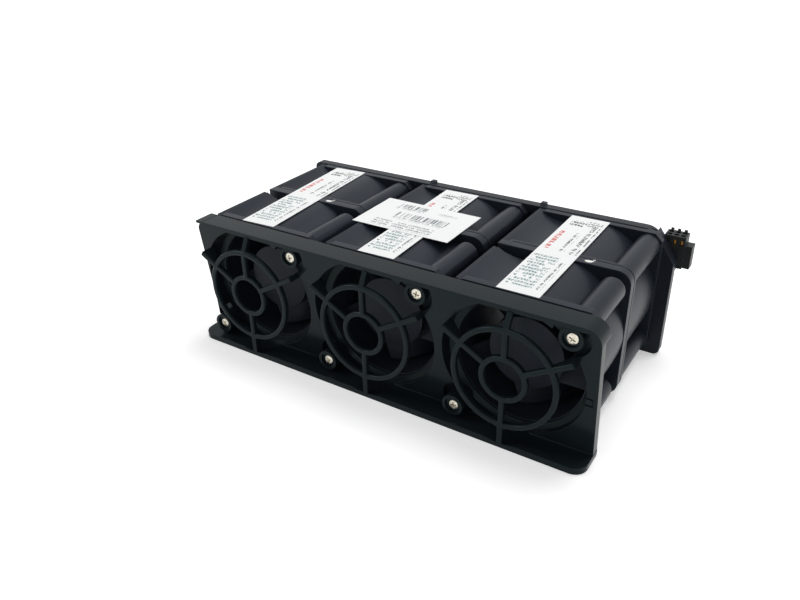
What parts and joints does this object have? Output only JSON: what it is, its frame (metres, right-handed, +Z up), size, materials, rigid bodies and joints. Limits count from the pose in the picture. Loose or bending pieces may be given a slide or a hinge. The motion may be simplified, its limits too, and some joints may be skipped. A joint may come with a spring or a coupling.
{
  "type": "server fan module",
  "caption": "Row of guarded axial fans with counter-rotating rotors, held between a leaning front bezel with a foot ledge and a rear frame with a corner connector.",
  "frame": {"origin": "middle of the module's footprint, on the surface that it stands on", "axes": "+X along the module to the connector's end, +Y the way the air goes, from the bezel to the rear frame, +Z up"},
  "size_m": [0.1384, 0.076, 0.043],
  "materials": {
    "bezel_plastic": "glossy black moulded plastic",
    "frame_plastic": "satin black moulded plastic",
    "fan_plastic": "fine-textured black plastic with glass fibre",
    "rotor_plastic": "satin black plastic",
    "core_steel": "stacked electrical steel",
    "copper": "enamelled copper wire",
    "board": "green solder resist",
    "bearing_metal": "turned bronze",
    "shaft_steel": "ground steel",
    "screw_steel": "bright zinc-plated steel",
    "connector_plastic": "dark moulded plastic",
    "contact_gold": "gold-plated",
    "label": "white printed film"
  },
  "bodies": {
    "module": {"front_bezel": "bezel_plastic", "rear_frame": "frame_plastic", "front_fan_housings": "fan_plastic", "rear_fan_housings": "fan_plastic", "stator_cores": "core_steel", "stator_coils": "copper", "circuit_boards": "board", "motor_bearings": "bearing_metal", "bezel_screws": "screw_steel", "connector_housing": "connector_plastic", "connector_contacts": "contact_gold", "wide_label": "label", "fan_1_label": "label", "fan_2_label": "label", "fan_3_label": "label"},
    "fan_1_front_rotor": {"fan_1_front_impeller": "rotor_plastic", "fan_1_front_shaft": "shaft_steel"},
    "fan_1_rear_rotor": {"fan_1_rear_impeller": "rotor_plastic", "fan_1_rear_shaft": "shaft_steel"},
    "fan_2_front_rotor": {"fan_2_front_impeller": "rotor_plastic", "fan_2_front_shaft": "shaft_steel"},
    "fan_2_rear_rotor": {"fan_2_rear_impeller": "rotor_plastic", "fan_2_rear_shaft": "shaft_steel"},
    "fan_3_front_rotor": {"fan_3_front_impeller": "rotor_plastic", "fan_3_front_shaft": "shaft_steel"},
    "fan_3_rear_rotor": {"fan_3_rear_impeller": "rotor_plastic", "fan_3_rear_shaft": "shaft_steel"}
  },
  "joints": [
    {"name": "fan_1_front_spin", "type": "hinge", "parent": "module", "child": "fan_1_front_rotor", "pos_m": [-0.0455, -0.0149, 0.022], "axis": [0, 1, 0], "continuous": true},
    {"name": "fan_1_rear_spin", "type": "hinge", "parent": "module", "child": "fan_1_rear_rotor", "pos_m": [-0.0455, 0.0161, 0.022], "axis": [0, 1, 0], "continuous": true},
    {"name": "fan_2_front_spin", "type": "hinge", "parent": "module", "child": "fan_2_front_rotor", "pos_m": [-0.0017, -0.0149, 0.022], "axis": [0, 1, 0], "continuous": true},
    {"name": "fan_2_rear_spin", "type": "hinge", "parent": "module", "child": "fan_2_rear_rotor", "pos_m": [-0.0017, 0.0161, 0.022], "axis": [0, 1, 0], "continuous": true},
    {"name": "fan_3_front_spin", "type": "hinge", "parent": "module", "child": "fan_3_front_rotor", "pos_m": [0.0421, -0.0149, 0.022], "axis": [0, 1, 0], "continuous": true},
    {"name": "fan_3_rear_spin", "type": "hinge", "parent": "module", "child": "fan_3_rear_rotor", "pos_m": [0.0421, 0.0161, 0.022], "axis": [0, 1, 0], "continuous": true}
  ]
}
